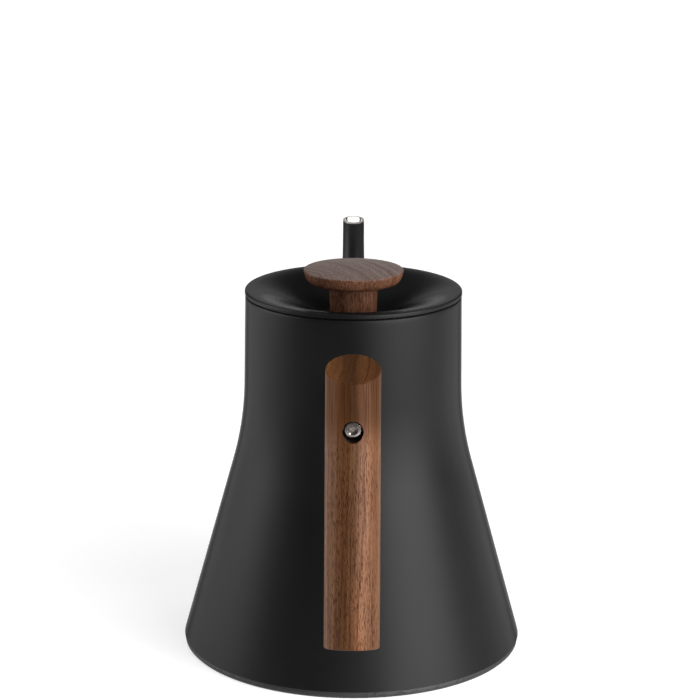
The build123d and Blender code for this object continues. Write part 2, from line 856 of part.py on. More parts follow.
foot_radius = flank_radius(foot_height) - foot_inset
foot_inner = post_ring + m3_head_radius + foot_gap
shoulder = foot_height - gasket_height
upstand_top = cover_top + cover_upstand
with BuildPart() as base_cover:
    with BuildSketch(Plane.XZ):
        with BuildLine():
            Polyline(
                (foot_inner, 0),
                (foot_radius - foot_round, 0),
                (foot_radius, foot_round),
                (foot_radius, shoulder),
                (flank_radius(shoulder, shell_wall + cover_gap), shoulder),
                (flank_radius(upstand_top, shell_wall + cover_gap), upstand_top),
                (flank_radius(upstand_top, shell_wall + cover_gap + cover_wall), upstand_top),
                (flank_radius(cover_top, shell_wall + cover_gap + cover_wall), cover_top),
                (collar_radius + collar_gap, cover_top),
                (collar_radius + collar_gap, cover_recess),
                (foot_inner, cover_recess),
                close=True,
            )
        make_face()
    revolve(axis=Axis.Z)
    with BuildSketch(Plane.XY.offset(cover_recess)):
        with screw_ring(post_ring, cover_screw_angle):
            Circle(m3_radius + shank_gap)
    extrude(amount=cover_plate, mode=Mode.SUBTRACT)
finish(base_cover, "base_cover")

with BuildPart() as base_gasket:
    with BuildSketch(Plane.XY.offset(shoulder)):
        Circle(foot_radius)
        Circle(flank_radius(foot_height, shell_wall), mode=Mode.SUBTRACT)
    extrude(amount=gasket_height)
finish(base_gasket, "base_gasket")
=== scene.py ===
# %% [markdown]
# # A gooseneck kettle
# A matte black pour-over kettle with a walnut knob and a walnut bar grip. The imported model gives
# every piece its size and place. This lesson remodels the pieces that show, at a finer step, gives
# each piece a finish made of nodes, and lights the whole as on a photographer's table. The cube, the
# light and the camera that Blender starts with are taken away first.

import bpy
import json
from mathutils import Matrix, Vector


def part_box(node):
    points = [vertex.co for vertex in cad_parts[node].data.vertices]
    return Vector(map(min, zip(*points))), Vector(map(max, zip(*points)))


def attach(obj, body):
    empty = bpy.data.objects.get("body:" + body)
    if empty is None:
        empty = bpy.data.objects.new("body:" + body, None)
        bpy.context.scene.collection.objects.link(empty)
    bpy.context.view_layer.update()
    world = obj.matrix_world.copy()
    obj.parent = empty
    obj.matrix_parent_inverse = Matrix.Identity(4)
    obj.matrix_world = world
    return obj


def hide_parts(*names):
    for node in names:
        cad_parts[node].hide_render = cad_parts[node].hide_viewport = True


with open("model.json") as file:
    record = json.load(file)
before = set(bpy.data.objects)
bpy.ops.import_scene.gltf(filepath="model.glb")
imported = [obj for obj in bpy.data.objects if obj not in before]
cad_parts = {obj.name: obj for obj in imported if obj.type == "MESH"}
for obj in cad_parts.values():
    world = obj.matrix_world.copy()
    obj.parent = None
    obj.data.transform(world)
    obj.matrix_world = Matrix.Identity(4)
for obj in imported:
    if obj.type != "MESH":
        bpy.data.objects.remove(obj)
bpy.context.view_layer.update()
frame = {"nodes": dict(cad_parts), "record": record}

import json
from math import asin, cos, pi, radians, sin, tan

import bpy
from mathutils import Matrix, Vector

nodes = frame["nodes"]
mm = 0.001
for leftover in ("Cube", "Light", "Camera"):
    if leftover in bpy.data.objects:
        bpy.data.objects.remove(bpy.data.objects[leftover])
print("nodes in the frame:", len(nodes))

# %% [markdown]
# ## Small tools for finishes
# A finish is a material whose nodes end in one Principled shader. Patterns read Object coordinates,
# which here are metres in the kettle's own frame, so a pattern stays on its piece when that moves.
# A few short helpers add and link the nodes, so that each recipe stays readable.

# %% Helpers for finishes
def new_finish(name):
    """A material with an empty recipe: its shader and its Object coordinates."""
    finish = bpy.data.materials.new(name)
    finish.use_nodes = True
    shader = finish.node_tree.nodes["Principled BSDF"]
    place = finish.node_tree.nodes.new("ShaderNodeTexCoord").outputs["Object"]
    return finish, shader, place


def add_node(finish, kind, inputs=None, **settings):
    """One node, with its settings, and values or links for its inputs."""
    node = finish.node_tree.nodes.new(kind)
    for name, value in settings.items():
        setattr(node, name, value)
    for name, value in (inputs or {}).items():
        if isinstance(value, bpy.types.NodeSocket):
            finish.node_tree.links.new(value, node.inputs[name])
        else:
            node.inputs[name].default_value = value
    return node


def link(finish, source, target):
    finish.node_tree.links.new(source, target)


def combine(finish, operation, *values):
    """One operation on two or three numbers or links."""
    node = add_node(finish, "ShaderNodeMath", dict(enumerate(values)), operation=operation)
    return node.outputs[0]


print("node helpers ready")

# %% [markdown]
# ## Small tools for patterns
# A pattern starts as a noise, whose values lie between 0 and 1. A ramp turns them into colours, a map
# moves them to another range or makes a soft step of them, and a bump turns them into fine relief.

# %% Helpers for patterns
def ramp(finish, value, stops):
    """Colours along a value: stops are (position, colour) pairs."""
    node = add_node(finish, "ShaderNodeValToRGB", {"Fac": value})
    band = node.color_ramp
    while len(band.elements) < len(stops):
        band.elements.new(0.5)
    for element, (position, colour) in zip(band.elements, stops):
        element.position = position
        element.color = (*colour, 1)
    return node.outputs["Color"]


def between(finish, value, low, high):
    """A value from 0 to 1, moved to the range low to high."""
    node = add_node(finish, "ShaderNodeMapRange", {"Value": value, "To Min": low, "To Max": high})
    return node.outputs["Result"]


def step(finish, value, low, high, start=0.0, end=1.0):
    """A soft step: start below low, end above high."""
    node = add_node(
        finish, "ShaderNodeMapRange",
        {"Value": value, "From Min": low, "From Max": high, "To Min": start, "To Max": end},
        interpolation_type="SMOOTHSTEP",
    )
    return node.outputs["Result"]


def speckle(finish, place, scale, detail=2.0, roughness=0.5):
    """Soft noise, scale being the number of lumps per unit of the place."""
    node = add_node(
        finish, "ShaderNodeTexNoise",
        {"Vector": place, "Scale": scale, "Detail": detail, "Roughness": roughness},
    )
    return node.outputs[0]


def emboss(finish, shader, height, depth, strength=1.0):
    """Turn a height into shading, depth being the height of a value of 1, in metres."""
    node = add_node(
        finish, "ShaderNodeBump", {"Height": height, "Distance": depth, "Strength": strength}
    )
    link(finish, node.outputs["Normal"], shader.inputs["Normal"])


print("pattern helpers ready")

# %% [markdown]
# ## Black powder coat
# The body, lid, arm and spout are steel, sprayed with dry black powder that is baked until it flows.
# It cures to a matte skin with a very fine orange peel. A low specular level and a high roughness
# give the broad, soft sheen. Both fall at a glancing angle, where the peel shades itself. One noise
# varies the colour and the roughness, another is the peel.

# %% Powder coat
powder_coat, shader, place = new_finish("powder_coat")
coat_gloss, coat_edge_gloss, coat_edge_rough = 0.156, 0.004, 0.6
cloud = speckle(powder_coat, place, 45, 3)
peel = speckle(powder_coat, place, 2600, 2)
tone = ramp(powder_coat, cloud, [(0.25, (0.0030, 0.0030, 0.0032)), (0.75, (0.0042, 0.0042, 0.0045))])
link(powder_coat, tone, shader.inputs["Base Color"])
facing = add_node(powder_coat, "ShaderNodeLayerWeight", {"Blend": 0.5}).outputs["Facing"]
rough = combine(
    powder_coat, "MULTIPLY", between(powder_coat, cloud, 0.41, 0.47),
    step(powder_coat, facing, 0.55, 0.85, 1.0, coat_edge_rough),
)
link(powder_coat, rough, shader.inputs["Roughness"])
gloss = step(powder_coat, facing, 0.5, 0.8, coat_gloss, coat_edge_gloss)
link(powder_coat, gloss, shader.inputs["Specular IOR Level"])
emboss(powder_coat, shader, peel, 0.012 * mm, 0.5)
print("made", powder_coat.name)

# %% [markdown]
# ## Growth rings
# Grip and knob are turned from solid walnut. Wood is a solid pattern, so it is made in space and not
# painted on: rings around a pith, which lies far outside the piece. The recipe works in a turned
# frame whose Z runs along the grain. The rings are one-dimensional noise over the distance from the
# pith, and a slow noise bends them a little.

# %% Rings
def stretched(finish, place, scale):
    """The same place with its axes scaled, for patterns that are longer one way than another."""
    return add_node(finish, "ShaderNodeMapping", {"Vector": place, "Scale": scale}).outputs["Vector"]


def growth_rings(finish, board, pith):
    """The rings' noise, and the place in the board that they follow, bent by slow noise."""
    wander = add_node(
        finish, "ShaderNodeTexNoise",
        {"Vector": stretched(finish, board, (0.05, 0.05, 0.014)), "Scale": 1.0, "Detail": 2.0},
    ).outputs["Color"]
    bent = add_node(
        finish, "ShaderNodeVectorMath", {0: wander, 1: (7, 7, 0), 2: board}, operation="MULTIPLY_ADD"
    ).outputs[0]
    level = add_node(
        finish, "ShaderNodeVectorMath", {0: bent, 1: (1, 1, 0)}, operation="MULTIPLY"
    ).outputs[0]
    away = add_node(
        finish, "ShaderNodeVectorMath", {0: level, 1: (*pith, 0)}, operation="DISTANCE"
    ).outputs["Value"]
    rings = add_node(
        finish, "ShaderNodeTexNoise",
        {"W": away, "Scale": 0.3, "Detail": 4.0, "Roughness": 0.62}, noise_dimensions="1D",
    ).outputs[0]
    return rings, bent


print("ring helpers ready")

# %% [markdown]
# ## Oiled walnut
# Over the rings lie long fibres, and pores that show as short dark dashes along the grain and as dots
# on the cut ends, so these noises are drawn out along Z. Broad bands of painted light and shade can lie
# side by side across a piece, and towards its end it takes another tint, which on the knob is a painted
# sheen. Oil gives a soft gloss, less of it at the end and in the pores, where the wood drinks it.

# %% Walnut
def shade(finish, colour, factor):
    """Multiply a colour by a grey or coloured factor."""
    node = add_node(
        finish, "ShaderNodeMix", {0: 1.0, 6: colour, 7: factor}, data_type="RGBA", blend_type="MULTIPLY"
    )
    return node.outputs[2]


def walnut(name, turn, shift, pith, tones, painted_light_bands, end, end_tints_and_sheen, open_pores, gloss):
    """Walnut with its grain along Z after a turn about X; lengths are in mm.

    tones are the colours of dark, middle and light rings, painted_light_bands the painted light and
    shade across the piece from its left to its right side, end the stretch along the grain over which
    it takes the tints of its end, left and right, end_tints_and_sheen these tints, which on the knob
    are a painted sheen, open_pores the noise level below which a pore shows, and gloss the specular
    level seen from the front and at a glancing angle.
    """
    finish, shader, place = new_finish(name)
    board = add_node(
        finish, "ShaderNodeMapping",
        {"Vector": place, "Rotation": (turn, 0, 0), "Scale": (1000, 1000, 1000), "Location": shift},
    ).outputs["Vector"]
    rings, bent = growth_rings(finish, board, pith)
    wood = ramp(finish, rings, list(zip((0.31, 0.46, 0.65), tones)))

    # long fibres, and pores as short dark dashes, in crowds, with fewer at the end
    fibre = speckle(finish, stretched(finish, board, (1, 1, 0.016)), 2.0, 3, 0.6)
    lines = [(0.36, (0.52, 0.49, 0.47)), (0.47, (0.97, 0.97, 0.96)), (0.66, (1.14, 1.14, 1.13))]
    wood = shade(finish, wood, ramp(finish, fibre, lines))
    spot = add_node(finish, "ShaderNodeSeparateXYZ", {0: bent})
    end_depth = step(finish, spot.outputs["Z"], *end)
    pores = speckle(finish, stretched(finish, board, (1, 1, 0.1)), 4.2, 2, 0.5)
    crowd = speckle(finish, stretched(finish, board, (0.12, 0.12, 0.03)), 1.0, 1, 0.5)
    for amount, share in ((crowd, -0.16), (end_depth, 0.13)):
        pores = combine(finish, "MULTIPLY_ADD", amount, share, pores)
    pores = step(finish, pores, open_pores - 0.12, open_pores)
    pits = [(0.0, (0.40, 0.35, 0.32)), (1.0, (1.06, 1.06, 1.06))]
    wood = shade(finish, wood, ramp(finish, pores, pits))

    # painted light and shade in broad bands across the piece, and the tint of its end, a painted sheen
    # on the knob
    across = step(finish, spot.outputs["X"], -7.5, 14.5)
    wood = shade(finish, wood, ramp(finish, across, [(at, (b, b, b)) for at, b in painted_light_bands]))
    end_side = step(finish, spot.outputs["X"], -4.0, 5.0)
    end_wood = shade(finish, wood, ramp(finish, end_side, list(zip((0.0, 1.0), end_tints_and_sheen))))
    wood = add_node(
        finish, "ShaderNodeMix", {0: end_depth, 6: wood, 7: end_wood}, data_type="RGBA"
    ).outputs[2]

    # oil: gloss that changes with the angle, less of it at the end and in the pores
    facing = add_node(finish, "ShaderNodeLayerWeight", {"Blend": 0.5}).outputs["Facing"]
    oiled = combine(
        finish, "MULTIPLY", between(finish, pores, 0.3, 1.0), between(finish, end_depth, 1.0, 0.3)
    )
    sheen = combine(finish, "MULTIPLY", step(finish, facing, 0.45, 0.75, *gloss), oiled)
    link(finish, wood, shader.inputs["Base Color"])
    link(finish, between(finish, fibre, 0.51, 0.41), shader.inputs["Roughness"])
    link(finish, sheen, shader.inputs["Specular IOR Level"])
    emboss(finish, shader, pores, 0.03 * mm, 0.5)
    return finish


print("walnut recipe ready")

# %% [markdown]
# ## Wood of the grip
# The grip's grain runs along its lean. Across it lie broad bands of painted light and shade: lighter
# at its left edge and on its right side, where the lights fall, and darker in between. From about the
# screw upwards it is darker, most on its right side. The wall of its counterbore has the same grain,
# but is painted almost black, as painted shade in that hollow.

# %% Walnut of the grip
grip_tilt = radians(15)
grip_offset, arm_height = 92.1, 124.35
grip_shift = (0, grip_offset * cos(grip_tilt) + arm_height * sin(grip_tilt), 0)
grip_pith, grip_pores = (-66, 12), 0.4
grip_tones = ((0.086, 0.030, 0.0105), (0.128, 0.049, 0.0175), (0.158, 0.066, 0.025))
# painted light and shade across the grip: lighter at its left edge and on its right side, darker in
# between
grip_painted_light_bands = (
    (0.0, 1.12), (0.06, 0.9), (0.2, 0.57), (0.35, 0.57), (0.5, 0.54), (0.65, 1.0), (0.78, 1.2),
    (0.9, 0.94), (0.97, 0.78),
)
grip_end, grip_end_tints = (84.5, 100), ((0.72, 0.72, 0.72), (0.5, 0.5, 0.5))
grip_walnut = walnut(
    "walnut_grip", grip_tilt, grip_shift, grip_pith, grip_tones, grip_painted_light_bands, grip_end, grip_end_tints,
    grip_pores, (0.17, 0.17),
)
even = ((0.0, 1.0), (1.0, 1.0))
# painted shade: the counterbore's wall is painted almost black, as shade in that hollow
bore_shade_tones = ((0.008, 0.005, 0.004), (0.013, 0.007, 0.005), (0.019, 0.01, 0.007))
bore_shade_walnut = walnut(
    "walnut_bore_shade", grip_tilt, grip_shift, grip_pith, bore_shade_tones, even, grip_end, grip_end_tints,
    grip_pores, (0.05, 0.05),
)
print("made", grip_walnut.name, "and", bore_shade_walnut.name)

# %% [markdown]
# ## Wood of the knob
# The knob's grain stands upright, so its top is end grain. Its top is painted lighter and greyer than
# its side, a painted sheen that stands in for the oil's gloss, which is kept low there. That tint
# begins at the edge of the cap.

# %% Walnut of the knob
cap_edge, knob_shift = 165.5, (3, 11, 40)
cap_level = cap_edge + knob_shift[2]
knob_tones = ((0.082, 0.034, 0.018), (0.107, 0.046, 0.0255), (0.132, 0.06, 0.0345))
# painted sheen: the top of the cap is tinted lighter and greyer
knob_top_sheen_tints = 2 * ((1.16, 1.95, 3.1),)
knob_walnut = walnut(
    "walnut_knob", 0, knob_shift, (-58, -30), knob_tones, even, (cap_level - 0.4, cap_level + 0.1),
    knob_top_sheen_tints, 0.44, (0.22, 0.04),
)
print("made", knob_walnut.name)

# %% [markdown]
# ## Metals
# The vessel is stainless steel, spun and then brushed around, so its scratches are level lines. A
# noise that is squeezed in height gives them. The spout's rim is dull bare steel, and its bore is
# polished. The grip's screw is bright and almost smooth steel, tinted warm as a painted reflection
# of the walnut around it. The heater's plate is cast aluminium with a grainy skin, contacts and insert
# are turned brass, and the cut-out discs are rolled bimetal.

# %% Metal finishes
def metal(name, colour, dull, lines, rough, depth):
    """Metal whose colour and roughness follow one noise; lines is its fineness along each axis."""
    finish, shader, place = new_finish(name)
    marks = speckle(finish, stretched(finish, place, lines), 1.0, 4, 0.6)
    link(finish, ramp(finish, marks, [(0.25, dull), (0.75, colour)]), shader.inputs["Base Color"])
    link(finish, between(finish, marks, *rough), shader.inputs["Roughness"])
    shader.inputs["Metallic"].default_value = 1.0
    emboss(finish, shader, marks, depth * mm, 0.35)
    return finish


def grainy(size):
    """The same fineness along all three axes."""
    return (size, size, size)


steel = metal("steel", (0.66, 0.65, 0.63), (0.52, 0.51, 0.5), (25, 25, 5200), (0.24, 0.4), 0.006)
rim_steel = metal(
    "rim_steel", (0.36, 0.325, 0.31), (0.28, 0.25, 0.24), grainy(900), (0.3, 0.42), 0.004
)
bore_steel = metal(
    "bore_steel", (0.93, 0.92, 0.91), (0.86, 0.85, 0.84), grainy(300), (0.1, 0.18), 0.002
)
# the screw's steel is tinted warm, a painted reflection of the walnut around it
screw_steel = metal(
    "screw_steel", (0.76, 0.68, 0.64), (0.56, 0.48, 0.44), grainy(700), (0.13, 0.22), 0.003
)
aluminium = metal("aluminium", (0.78, 0.78, 0.79), (0.6, 0.6, 0.61), grainy(1500), (0.35, 0.55), 0.02)
brass = metal("brass", (0.8, 0.6, 0.3), (0.62, 0.44, 0.2), (300, 300, 4000), (0.2, 0.34), 0.004)
bimetal = metal("bimetal", (0.72, 0.6, 0.44), (0.55, 0.44, 0.3), (4000, 250, 250), (0.26, 0.4), 0.004)
metals = (steel, rim_steel, bore_steel, screw_steel, aluminium, brass, bimetal)
print("made", [finish.name for finish in metals])

# %% [markdown]
# ## Rubber and plastic
# Seals and gasket are black silicone, the wires' sleeves a pale silicone, and the base a black
# moulded plastic with a fine spark-eroded grain. All three are dull, with a noise for the mould's
# texture, each at its own scale.

# %% Rubber and plastic finishes
def moulded(name, light, dark, lumps, rough, depth):
    """Dull moulded stuff with a fine grain."""
    finish, shader, place = new_finish(name)
    skin = speckle(finish, place, lumps, 3, 0.6)
    link(finish, ramp(finish, skin, [(0.3, dark), (0.7, light)]), shader.inputs["Base Color"])
    link(finish, between(finish, skin, *rough), shader.inputs["Roughness"])
    shader.inputs["Specular IOR Level"].default_value = 0.35
    emboss(finish, shader, skin, depth * mm, 0.5)
    return finish


silicone = moulded("silicone", (0.03, 0.03, 0.031), (0.022, 0.022, 0.023), 900, (0.6, 0.7), 0.01)
base_plastic = moulded(
    "base_plastic", (0.022, 0.022, 0.023), (0.015, 0.015, 0.016), 3200, (0.5, 0.62), 0.02
)
lead_sleeve = moulded("lead_sleeve", (0.7, 0.67, 0.6), (0.58, 0.55, 0.49), 700, (0.5, 0.6), 0.01)
print("made", [finish.name for finish in (silicone, base_plastic, lead_sleeve)])

# %% [markdown]
# ## Finishes on the frame's own nodes
# Pieces whose plain shape is already right stay as they are and only get a better finish. The record
# says which slot each node takes, so one table from slot to finish covers them all.

# %% Dress the frame's nodes
slot_finish = {
    "powder_coat": powder_coat, "walnut": knob_walnut, "steel": steel, "screw_steel": screw_steel,
    "silicone": silicone, "base_plastic": base_plastic, "aluminium": aluminium, "brass": brass,
    "bimetal": bimetal, "lead_sleeve": lead_sleeve,
}
for subpart in frame["record"]["subparts"]:
    piece = nodes[subpart["node"]]
    piece.data.materials.clear()
    piece.data.materials.append(slot_finish[subpart["material_slot"]])

# %% [markdown]
# ## Turning on a lathe
# Body, lid and knob are round, so each is one outline turned about the Z axis. A plane is merged to
# a single point, the point is extruded along the outline, and Spin turns it. Spin leaves a double
# seam, so doubles are merged and the normals recalculated before the shading is made smooth.

# %% Helpers for turned pieces
def clear_selection():
    if bpy.context.mode != "OBJECT":
        bpy.ops.object.mode_set(mode="OBJECT")
    bpy.ops.object.select_all(action="DESELECT")


def turn_outline(name, outline, steps=192, closed=True, angle=35):
    """Turn an outline of (radius, height) points, in mm, about the Z axis."""
    clear_selection()
    bpy.ops.mesh.primitive_plane_add(size=mm)
    piece = bpy.context.object
    piece.name = name
    points = [Vector((radius * mm, 0, height * mm)) for radius, height in outline]
    bpy.ops.object.mode_set(mode="EDIT")
    bpy.ops.mesh.select_all(action="SELECT")
    bpy.ops.mesh.merge(type="CENTER")
    bpy.ops.transform.translate(value=points[0])
    for before, after in zip(points, points[1:] + (points[:1] if closed else [])):
        bpy.ops.mesh.extrude_vertices_move(TRANSFORM_OT_translate={"value": after - before})
    bpy.ops.mesh.select_all(action="SELECT")
    bpy.ops.mesh.remove_doubles(threshold=0.002 * mm)
    bpy.ops.mesh.select_all(action="SELECT")
    bpy.ops.mesh.spin(steps=steps, angle=2 * pi, center=(0, 0, 0), axis=(0, 0, 1))
    bpy.ops.mesh.select_all(action="SELECT")
    bpy.ops.mesh.remove_doubles(threshold=0.002 * mm)
    bpy.ops.mesh.select_all(action="SELECT")
    bpy.ops.mesh.normals_make_consistent(inside=False)
    bpy.ops.object.mode_set(mode="OBJECT")
    bpy.ops.object.shade_smooth_by_angle(angle=radians(angle))
    return piece


def arc_points(centre, radius, start, end, count):
    """Points on an arc, angles in degrees."""
    turns = [radians(start + (end - start) * i / count) for i in range(count + 1)]
    return [(centre[0] + radius * cos(t), centre[1] + radius * sin(t)) for t in turns]


print("lathe helpers ready")

# %% [markdown]
# ## Cutting and dressing
# Holes are made as in a workshop, by a cutter that is taken out of the piece: an exact Boolean, with
# the cutter thrown away afterwards. A finished piece then gets its finishes and the body that it moves
# with.

# %% Helpers for cutting and dressing
def cut_away(piece, cutter):
    """Cut one piece out of another, and throw the cutter away."""
    clear_selection()
    bpy.context.view_layer.objects.active = piece
    cut = piece.modifiers.new("cut", "BOOLEAN")
    cut.object = cutter
    cut.operation = "DIFFERENCE"
    cut.solver = "EXACT"
    bpy.ops.object.modifier_apply(modifier="cut")
    bpy.data.objects.remove(cutter)


def round_cutter(radius, start, end, sides=96):
    """A cylinder between two points, in mm."""
    clear_selection()
    start, end = Vector(start) * mm, Vector(end) * mm
    along = end - start
    bpy.ops.mesh.primitive_cylinder_add(
        vertices=sides, radius=radius * mm, depth=along.length, location=(start + end) / 2,
        rotation=along.to_track_quat("Z", "Y").to_euler(),
    )
    return bpy.context.object


def dress(piece, body, slot, *finishes):
    """Give a piece its finishes and the body that it rides on. The slot is not used."""
    piece.data.materials.clear()
    for finish in finishes:
        piece.data.materials.append(finish)
    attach(piece, body)
    print(piece.name, "has", len(piece.data.polygons), "faces")


print("cutting helpers ready")

# %% [markdown]
# ## Side of the body
# The body's side is a neck that is almost straight, one wide arc for the flare and a cone down to the
# foot. Each runs smoothly into the next. One function gives the radius at any height, also for a
# surface that lies deeper in the wall, so that the inside and the root of the spout can use it too.

# %% Side of the body
neck_radius, neck_draft, neck_length = 46.0, radians(0.78), 38.35
flare_radius, cone_angle = 138.6, radians(15.43)
mouth_height, mouth_radius, shell_wall, foot_height = 154.65, 43.0, 1.0, 3.0
flare_centre = neck_radius + neck_length * tan(neck_draft) + flare_radius * cos(neck_draft)
flare_level = mouth_height - neck_length + flare_radius * sin(neck_draft)


def flank_radius(height, inset=0.0):
    """Radius of the body's side at a height, moved in by inset along its normal."""
    arc_radius = flare_radius + inset
    arc_top = flare_level - arc_radius * sin(neck_draft)
    arc_foot = flare_level - arc_radius * sin(cone_angle)
    if height > arc_top:
        return flare_centre - arc_radius * cos(neck_draft) - (height - arc_top) * tan(neck_draft)
    if height > arc_foot:
        return flare_centre - arc_radius * cos(asin((flare_level - height) / arc_radius))
    return flare_centre - arc_radius * cos(cone_angle) + (arc_foot - height) * tan(cone_angle)


def flank(low, high, count, inset=0.0):
    heights = [low + (high - low) * i / count for i in range(count + 1)]
    return [(flank_radius(height, inset), height) for height in heights]


print("radius at the foot", round(flank_radius(foot_height), 1), "mm")

# %% [markdown]
# ## Body
# The body is one drawn steel shell, and its mouth is rolled in to a ledge that carries the lid. The
# outline runs up the outside, over the mouth and down the inside, so the wall has its real thickness.
# Outside it is coated, inside it is bare steel, and a port is cut where the spout joins.

# %% Body shell
rim_round, lip_depth, ledge_depth = 0.8, 2.5, 4.5
body_outline = (
    flank(foot_height, mouth_height - rim_round, 90)
    + arc_points((neck_radius - rim_round, mouth_height - rim_round), rim_round, 0, 90, 5)[1:]
    + arc_points((mouth_radius + rim_round, mouth_height - rim_round), rim_round, 90, 180, 5)
    + [(mouth_radius, mouth_height - lip_depth)]
    + flank(mouth_height - ledge_depth, foot_height, 60, shell_wall)
)
body = turn_outline("kettle_body", body_outline)

root_height, root_angle, root_run, port_radius = 38.2, radians(22), 14.0, 11.0
root_point = Vector((0, flank_radius(root_height), root_height))
root_course = Vector((0, cos(root_angle), sin(root_angle)))
cut_away(body, round_cutter(
    port_radius, root_point - root_course * root_run, root_point + root_course * root_run
))
dress(body, "kettle", "powder_coat", powder_coat, steel)
for face in body.data.polygons:
    off_axis = Vector((face.center.x, face.center.y)).length / mm
    wall_middle = flank_radius(face.center.z / mm, shell_wall / 2)
    below_lip = face.center.z < (mouth_height - lip_depth) * mm
    face.material_index = int(off_axis < wall_middle and below_lip)
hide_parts("body_shell")

# %% [markdown]
# ## Lid
# The lid is pressed from thin sheet: a dish that falls from a narrow crest to a flat floor under the
# knob. One Bezier curve, almost level at the crest, gives the dish, and the same curve moved down by
# the sheet's thickness is the underside. A small vent hole lets the steam out.

# %% Lid cover
def bezier_at(handles, share):
    """Point on a Bezier curve of any order, share being how far along its parameter."""
    row = [Vector(handle) for handle in handles]
    while len(row) > 1:
        row = [a.lerp(b, share) for a, b in zip(row, row[1:])]
    return row[0]


def bezier_points(handles, count):
    return [tuple(bezier_at(handles, i / count)) for i in range(count + 1)]


crest_height, lid_radius, lid_wall, land_width, crest_round = 157.0, 46.2, 0.8, 2.6, 0.7
dish_level, dish_foot, dish_edge = 146.0, 14.0, lid_radius - land_width
floor_handle, floor_rise, crest_handle, crest_fall = 4.0, 1.5, 12.0, 0.9
rim_foot, rim_break = mouth_height + 0.5, 0.15
bolt_hole, vent_radius, vent_reach = 2.25, 1.5, 30.0


def dish(drop, count=44):
    """The dish from its floor to its crest."""
    return bezier_points([
        (dish_foot, dish_level - drop), (dish_foot + floor_handle, dish_level + floor_rise - drop),
        (dish_edge - crest_handle, crest_height - crest_fall - drop), (dish_edge, crest_height - drop),
    ], count)


lid_outline = (
    [(bolt_hole, dish_level)]
    + dish(0)
    + arc_points((lid_radius - crest_round, crest_height - crest_round), crest_round, 90, 0, 6)
    + [(lid_radius, rim_foot + rim_break), (lid_radius - rim_break, rim_foot)]
    + [(lid_radius - lid_wall, rim_foot), (lid_radius - lid_wall, crest_height - lid_wall)]
    + dish(lid_wall)[::-1]
    + [(bolt_hole, dish_level - lid_wall)]
)
lid = turn_outline("lid_dish", lid_outline)
vent_low, vent_high = (0, vent_reach, dish_level - 6), (0, vent_reach, crest_height + 3)
cut_away(lid, round_cutter(vent_radius, vent_low, vent_high, 48))
dress(lid, "lid", "powder_coat", powder_coat)
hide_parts("lid_cover")

# %% [markdown]
# ## Knob
# The knob is turned from a walnut dowel: an almost straight stem and a flat cap with a gentle dome, a
# narrow rounded edge and a drawn-in underside. The outline starts and ends on the axis, so it is left
# open there.

# %% Knob
cap_under, cap_neck, knob_radius, knob_dome, knob_draw = 159.45, 14.0, 21.2, 1.5, 0.7
stem_radius, stem_foot, stem_break, stem_fillet, edge_round = 10.3, 10.0, 0.2, 1.8, 0.5
knob_outline = (
    [(0, dish_level), (stem_foot - stem_break, dish_level), (stem_foot, dish_level + stem_break)]
    + arc_points((stem_radius + stem_fillet, cap_under - stem_fillet), stem_fillet, 180, 90, 6)
    + bezier_points([
        (cap_neck, cap_under), (knob_radius - knob_dome, cap_under),
        (knob_radius - knob_draw, cap_under + knob_dome), (knob_radius, cap_edge - edge_round),
    ], 24)
    + arc_points((knob_radius - edge_round, cap_edge - edge_round), edge_round, 0, 90, 5)[1:]
    + bezier_points([
        (knob_radius - edge_round, cap_edge), (knob_radius / 2, cap_edge + knob_dome),
        (0, cap_edge + knob_dome),
    ], 24)[1:]
)
knob = turn_outline("knob_turned", knob_outline, 144, closed=False, angle=50)
dress(knob, "lid", "walnut", knob_walnut)
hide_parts("lid_knob")

# %% [markdown]
# ## Grip
# The grip is a round bar that leans in towards the body, sawn off at a slant on top. A cylinder is
# added at the bar's place and lean, Bisect saws its top and rings its long faces, so that they stay
# short for the cut that follows, and Bevel breaks the edges at both ends.

# %% Grip bar
grip_radius, grip_below, grip_top_rise, grip_top_tilt = 11.05, 88.0, 21.05, radians(13.4)
grip_axis = Vector((0, sin(grip_tilt), cos(grip_tilt)))
grip_middle = Vector((0, -grip_offset, arm_height))
clear_selection()
bpy.ops.mesh.primitive_cylinder_add(
    vertices=160, radius=grip_radius * mm, depth=2 * grip_below * mm,
    location=grip_middle * mm, rotation=grip_axis.to_track_quat("Z", "Y").to_euler(),
)
grip = bpy.context.object
grip.name = "grip_bar"
bpy.ops.object.transform_apply(location=True, rotation=True, scale=True)
top_point = Vector((0, grip_top_rise * tan(grip_tilt) - grip_offset, arm_height + grip_top_rise))
top_normal = Vector((0, -sin(grip_top_tilt), cos(grip_top_tilt)))
bpy.ops.object.mode_set(mode="EDIT")
bpy.ops.mesh.select_all(action="SELECT")
bpy.ops.mesh.bisect(plane_co=top_point * mm, plane_no=top_normal, use_fill=True, clear_outer=True)
for rise in range(-80, 20, 10):
    bpy.ops.mesh.select_all(action="SELECT")
    bpy.ops.mesh.bisect(plane_co=(grip_middle + grip_axis * rise) * mm, plane_no=grip_axis)
bpy.ops.object.mode_set(mode="OBJECT")


def pick_edges(piece, test):
    """Select the edges whose two ends pass a test."""
    bpy.ops.object.mode_set(mode="EDIT")
    bpy.ops.mesh.select_mode(type="EDGE")
    bpy.ops.mesh.select_all(action="DESELECT")
    bpy.ops.object.mode_set(mode="OBJECT")
    points = piece.data.vertices
    for edge in piece.data.edges:
        edge.select = all(test(points[i].co / mm) for i in edge.vertices)
    bpy.ops.object.mode_set(mode="EDIT")


def on_grip_end(point):
    """True on the sawn top and on the lower end."""
    below_top = (point - top_point).dot(top_normal)
    above_end = (point - grip_middle).dot(grip_axis) + grip_below
    return min(abs(below_top), abs(above_end)) < 0.01


end_break = 0.55
pick_edges(grip, on_grip_end)
bpy.ops.mesh.bevel(offset=end_break * mm, segments=4, affect="EDGES")
bpy.ops.mesh.select_mode(type="VERT")
bpy.ops.object.mode_set(mode="OBJECT")
print(grip.name, "sawn and broken at both ends")
